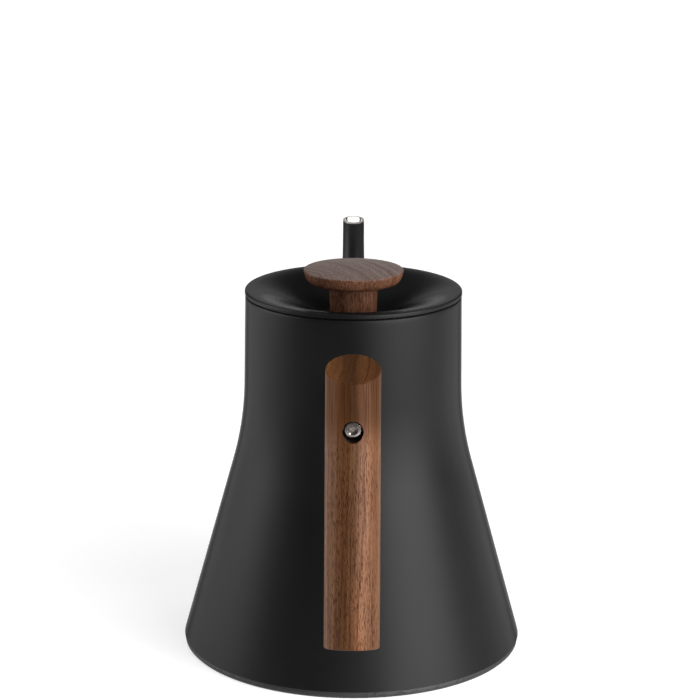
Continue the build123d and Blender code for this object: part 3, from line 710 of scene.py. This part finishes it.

# %% [markdown]
# ## Counterbore
# The screw's head sits sunk in the grip, on a washer. From where the screw's axis leaves the bar, the
# bore is as deep as the washer, the head and the distance by which the head is sunk. A cutter drills
# it, and the faces of its wall take the walnut that is painted almost black, as painted shade in the
# hollow.

# %% Counterbore
head_sink, head_height, washer_thick, bore_radius = 3.0, 4.0, 0.8, 4.15
grip_rim = grip_offset + grip_radius / cos(grip_tilt)
washer_seat = grip_rim - head_sink - head_height - washer_thick
bore_start, bore_end = (0, -grip_rim - 4, arm_height), (0, -washer_seat, arm_height)
cut_away(grip, round_cutter(bore_radius, bore_start, bore_end))
clear_selection()
bpy.context.view_layer.objects.active = grip
grip.select_set(True)
bpy.ops.object.shade_smooth_by_angle(angle=radians(30))
dress(grip, "kettle", "walnut", grip_walnut, bore_shade_walnut)
# the faces of the counterbore's wall take the walnut painted almost black, as painted shade in the
# hollow
for face in grip.data.polygons:
    off_bore = Vector((face.center.x, face.center.z - arm_height * mm)).length / mm
    face.material_index = int(off_bore < bore_radius + 0.02 and abs(face.normal.y) < 0.2)
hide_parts("handle_grip")

# %% [markdown]
# ## Grip screw
# One socket-head screw holds the grip. It is turned upright about the Z axis, where it is easy to
# shape: shank, head and a broken edge. A six-sided cutter sinks the socket. Then the screw is laid
# down to point into the grip, and the move is applied, so that the object itself stays at the origin.

# %% Grip screw
head_radius, head_break, head_round, shank_radius, shank_break = 3.5, 0.1, 0.45, 2.0, 0.3
hex_width, hex_depth, socket_lead, socket_fall = 3.0, 2.0, 0.45, 0.4
screw_low, screw_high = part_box("handle_screw")
shank_length = (screw_high.y - screw_low.y) / mm - head_height
screw_outline = (
    [(0, -shank_length), (shank_radius - shank_break, -shank_length)]
    + [(shank_radius, shank_break - shank_length), (shank_radius, 0)]
    + [(head_radius - head_break, 0), (head_radius, head_break)]
    + arc_points((head_radius - head_round, head_height - head_round), head_round, 0, 90, 6)
    + [(hex_width / 2 + socket_lead, head_height)]
    + [(hex_width / 2, head_height - socket_fall), (0, head_height - socket_fall)]
)
screw = turn_outline("grip_screw", screw_outline, 96, closed=False, angle=30)
clear_selection()
bpy.ops.mesh.primitive_cylinder_add(
    vertices=6, radius=hex_width / 2 / cos(radians(30)) * mm, depth=2 * hex_depth * mm,
    location=(0, 0, head_height * mm),
)
cut_away(screw, bpy.context.object)
clear_selection()
screw.select_set(True)
bpy.context.view_layer.objects.active = screw
screw.rotation_euler = (radians(90), 0, 0)
screw.location = Vector((0, head_height - grip_rim + head_sink, arm_height)) * mm
bpy.ops.object.transform_apply(location=True, rotation=True, scale=True)
bpy.ops.object.shade_smooth_by_angle(angle=radians(30))
dress(screw, "kettle", "screw_steel", screw_steel)
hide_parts("handle_screw")

# %% [markdown]
# ## Course of the spout
# The spout is a steel tube that tapers along one S-curve, a Bezier curve from the root to the tip.
# Equal steps along the curve's parameter would crowd in its bends, so the line is measured first and
# stations are set at equal lengths, each with its heading and its radius.

# %% Course of the spout
tip_point, tip_angle = Vector((0, 148.0, 155.1)), radians(38)
tip_course = Vector((0, cos(tip_angle), sin(tip_angle)))
root_handle, tip_handle = root_course * 95, tip_course * 70
course = [root_point, root_point + root_handle, tip_point - tip_handle, tip_point]
tip_radius, root_radius, taper, taper_end = 5.08, 13.4, 1.6, 0.86
fine_steps, spans = 400, 24


def tube_radius(share):
    """Radius of the tube, share being how far along its line."""
    return tip_radius + (root_radius - tip_radius) * max(0.0, 1 - share / taper_end) ** taper


fine = [bezier_at(course, i / fine_steps) for i in range(fine_steps + 1)]
reach = [0.0]
for before, after in zip(fine, fine[1:]):
    reach.append(reach[-1] + (after - before).length)
whole_length = root_run + reach[-1] + root_radius
stations = [(root_point - root_course * root_run, root_course, root_radius)]
for i in range(spans + 1):
    nearest = min(range(fine_steps + 1), key=lambda k: abs(reach[k] - i / spans * reach[-1]))
    heading = (fine[min(nearest + 1, fine_steps)] - fine[max(nearest - 1, 0)]).normalized()
    stations.append((fine[nearest], heading, tube_radius((root_run + reach[nearest]) / whole_length)))
stations.append((tip_point + tip_course * root_radius, tip_course, tip_radius))
print("centre line of the spout", round(reach[-1], 1), "mm")

# %% [markdown]
# ## Gooseneck spout
# A curve with a round bevel becomes the tube: each station is one of its knots, with the tube's radius
# there. The curve is made a mesh, and Solidify gives it a wall, whose inside takes the next finish in
# the list, the polished bore.

# %% Spout tube
spout_wall = 0.8
clear_selection()
bpy.ops.curve.primitive_bezier_curve_add(location=(0, 0, 0))
spout = bpy.context.object
spout.name = "gooseneck"
line = spout.data.splines[0]
line.bezier_points.add(len(stations) - len(line.bezier_points))
line.radius_interpolation = "CARDINAL"
line.resolution_u = 6
handle_length = reach[-1] / spans / 3
for knot, (point, heading, radius) in zip(line.bezier_points, stations):
    knot.handle_left_type = knot.handle_right_type = "FREE"
    knot.co = point * mm
    knot.handle_left = (point - heading * handle_length) * mm
    knot.handle_right = (point + heading * handle_length) * mm
    knot.radius = radius
spout.data.bevel_depth = mm
spout.data.bevel_resolution = 16
bpy.ops.object.convert(target="MESH")
spout = bpy.context.object
for finish in (powder_coat, bore_steel, rim_steel):
    spout.data.materials.append(finish)
wall = spout.modifiers.new("wall", "SOLIDIFY")
wall.thickness = spout_wall * mm
wall.offset = -1
wall.use_even_offset = True
wall.material_offset = 1
bpy.ops.object.modifier_apply(modifier="wall")
print(spout.name, "is a tube of", len(spout.data.polygons), "faces")

# %% [markdown]
# ## Tip and root of the spout
# Bisect cuts the leaning tip level and fills the cut wall to a rim. A narrow band at the rim stays
# bare steel, where the coat was masked. Last, the tube is coped: a solid core of the body, half a
# wall smaller, is cut away from its root.

# %% Spout
bare_band = 0.4
bpy.ops.object.mode_set(mode="EDIT")
bpy.ops.mesh.select_all(action="SELECT")
bpy.ops.mesh.bisect(plane_co=tip_point * mm, plane_no=(0, 0, 1), use_fill=True, clear_outer=True)
bpy.ops.mesh.select_all(action="SELECT")
bpy.ops.mesh.bisect(plane_co=(tip_point - Vector((0, 0, bare_band))) * mm, plane_no=(0, 0, 1))
bpy.ops.object.mode_set(mode="OBJECT")
core_top = 150
core_outline = [(0, foot_height)] + flank(foot_height, core_top, 80, shell_wall / 2) + [(0, core_top)]
cut_away(spout, turn_outline("body_core", core_outline, closed=False))
for face in spout.data.polygons:
    below_tip = tip_point.z - face.center.z / mm
    on_band = below_tip < bare_band and face.material_index == 0
    on_rim = below_tip < 0.1 and face.normal.z > 0.99
    if on_band or on_rim:
        face.material_index = 2
clear_selection()
spout.select_set(True)
bpy.context.view_layer.objects.active = spout
bpy.ops.object.shade_smooth_by_angle(angle=radians(35))
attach(spout, "kettle")
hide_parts("spout", "spout_neck")
print(spout.name, "has", len(spout.data.polygons), "faces")

# %% [markdown]
# ## Smoothed copies
# The arm, the base cover and the lid's skirt already have the right shape, but their facets show. A
# copy of each is merged, so that its faces share their corners, and then shaded smooth across small
# angles, with weighted normals that keep the large flat faces flat. The skirt's hem lies in the seam
# under the lid, and it takes the black coat as painted shade, so that the seam stays dark.

# %% Arm, base cover and skirt
def smooth_copy(node, name):
    """A merged and smoothly shaded copy of one of the frame's nodes."""
    clear_selection()
    nodes[node].select_set(True)
    bpy.context.view_layer.objects.active = nodes[node]
    bpy.ops.object.duplicate()
    piece = bpy.context.object
    for mark in list(piece.keys()):
        del piece[mark]
    piece.parent = None
    piece.name = name
    bpy.ops.object.mode_set(mode="EDIT")
    bpy.ops.mesh.select_all(action="SELECT")
    bpy.ops.mesh.remove_doubles(threshold=0.002 * mm)
    bpy.ops.object.mode_set(mode="OBJECT")
    bpy.ops.object.shade_smooth_by_angle(angle=radians(30))
    weigh = piece.modifiers.new("weigh", "WEIGHTED_NORMAL")
    weigh.keep_sharp = True
    bpy.ops.object.modifier_apply(modifier="weigh")
    return piece


arm = smooth_copy("handle_arm", "grip_arm")
dress(arm, "kettle", "powder_coat", powder_coat)
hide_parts("handle_arm")
cover = smooth_copy("base_cover", "foot_cover")
dress(cover, "kettle", "base_plastic", base_plastic)
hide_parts("base_cover")
skirt = smooth_copy("lid_skirt", "lid_guide")
dress(skirt, "lid", "steel", steel, powder_coat)
# the hem above this level takes the black coat, as painted shade in the seam
seam_shade_level = mouth_height - 0.4
for face in skirt.data.polygons:
    face.material_index = int(face.center.z > seam_shade_level * mm)
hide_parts("lid_skirt")

# %% [markdown]
# ## White sheet
# The kettle stands on one large white sheet that fills the view. Paper lit to pure white would flood
# the black coat with light, so the paper itself is grey, and a glow that only some rays see does the
# rest. The camera sees it white, with the shadow kept near the foot. Coat and metal mirror it, dimmer
# close by and in front.

# %% Floor
clear_selection()
sheet_size, sheet_turn, sheet_front = 9.0, radians(18), 0.42
sheet_away = sheet_size / 2 - sheet_front
bpy.ops.mesh.primitive_plane_add(
    size=sheet_size, location=(sheet_away * sin(sheet_turn), sheet_away * cos(sheet_turn), 0),
    rotation=(0, 0, -sheet_turn),
)
floor = bpy.context.object
floor.name = "white_sheet"
bpy.ops.object.transform_apply(location=True, rotation=True, scale=True)
paper, paper_shader, sheet_place = new_finish("white_sheet")
paper_shader.inputs["Base Color"].default_value = (0.6, 0.6, 0.6, 1)
paper_shader.inputs["Roughness"].default_value = 1.0
paper_shader.inputs["Specular IOR Level"].default_value = 0.0
paper_shader.inputs["Emission Color"].default_value = (1, 1, 1, 1)
rays = add_node(paper, "ShaderNodeLightPath").outputs
away = add_node(paper, "ShaderNodeVectorMath", {0: sheet_place}, operation="LENGTH").outputs["Value"]
depth = add_node(paper, "ShaderNodeSeparateXYZ", {0: sheet_place}).outputs["Y"]
in_view = combine(paper, "MULTIPLY", rays["Is Camera Ray"], step(paper, away, 0.5, 1.2, 0.53, 1.0))
mirrored = combine(paper, "ADD", rays["Is Glossy Ray"], rays["Is Transmission Ray"])
glow = combine(paper, "MULTIPLY_ADD", mirrored, step(paper, depth, 0.3, 1.1, 0.5, 1.0), in_view)
link(paper, glow, paper_shader.inputs["Emission Strength"])
floor.data.materials.append(paper)
print("floor laid,", sheet_size, "m wide")

# %% [markdown]
# ## Lights
# A black coat shows its lights more than its colour, so each light draws one form. A large soft one
# to the right in front and a weaker one to the left draw the broad bands on the body, and the dark
# gap between them is the dark band beside the grip. A low one behind gives the dish of the lid its
# sheen. A wide one overhead and two boards at the sides brighten the inside of the spout's tip.

# %% Lights
aim = Vector((0, 0, 0.09))


def softbox(name, azimuth, distance, height, wide, tall, radiance):
    """A soft light at an azimuth, in degrees to the right of the camera, facing the kettle."""
    turn = radians(azimuth)
    spot = Vector((distance * sin(turn), -distance * cos(turn), height))
    clear_selection()
    bpy.ops.object.light_add(
        type="AREA", location=spot, rotation=(aim - spot).to_track_quat("-Z", "Y").to_euler()
    )
    lamp = bpy.context.object
    lamp.name = name
    lamp.data.shape = "RECTANGLE"
    lamp.data.size, lamp.data.size_y = wide, tall
    lamp.data.energy = radiance * pi * wide * tall
    lamp.visible_camera = False
    return lamp


lamps = [
    softbox("right_light", 49, 1.1, 0.45, 1.12, 0.95, 9.5),
    softbox("left_light", -92, 1.1, 0.5, 0.8, 0.95, 4.9),
    softbox("back_light", 180, 2.6, 0.44, 1.2, 0.4, 1.3),
    softbox("top_light", 180, 0.1, 1.2, 1.3, 0.45, 1.2),
]
for side in (-116, 116):
    lamps.append(softbox("side_board", side, 1.2, 0.9, 0.5, 1.4, 1.15))
print("lights set:", [lamp.name for lamp in lamps])

# %% [markdown]
# ## Room
# The room around the table is dim, so that the coat stays black. The camera sees it white, like the
# sheet, and so would a ray that has passed through something clear. In a mirror it is white straight
# behind the kettle, as a backdrop would be, and dim elsewhere.

# %% Room
room_dim = 0.06
world = bpy.data.worlds.new("studio")
world.use_nodes = True
room = world.node_tree.nodes["Background"]
room.inputs["Color"].default_value = (1, 1, 1, 1)
room_rays = add_node(world, "ShaderNodeLightPath").outputs
seen = combine(world, "ADD", room_rays["Is Camera Ray"], room_rays["Is Transmission Ray"])
heading = add_node(world, "ShaderNodeTexCoord").outputs["Generated"]
behind = add_node(world, "ShaderNodeSeparateXYZ", {0: heading}).outputs["Y"]
backdrop = step(world, behind, 0.91, 1.0)
white = combine(world, "MULTIPLY_ADD", room_rays["Is Glossy Ray"], backdrop, seen)
link(world, between(world, white, room_dim, 1.0), room.inputs["Strength"])
bpy.context.scene.world = world
bpy.context.scene.view_settings.view_transform = "Standard"
print("room made:", world.name)

# %% [markdown]
# ## Camera
# The camera stands 1.1 m off on the grip's side and looks down by 15 degrees, with a long lens and a
# very slight roll.

# %% Camera
look_down, roll = radians(15.0467), radians(0.34)
camera_range, aim_height, camera_side = 1.1, 0.12989, -0.00135
clear_selection()
bpy.ops.object.camera_add(
    location=(camera_side, -camera_range * cos(look_down), aim_height + camera_range * sin(look_down))
)
camera = bpy.context.object
stance = Matrix.Rotation(radians(90) - look_down, 4, "X") @ Matrix.Rotation(roll, 4, "Z")
camera.rotation_euler = stance.to_euler()
camera.data.sensor_width = 36
camera.data.lens = 132.26
bpy.context.scene.camera = camera
print("camera at", [round(v, 4) for v in camera.location])
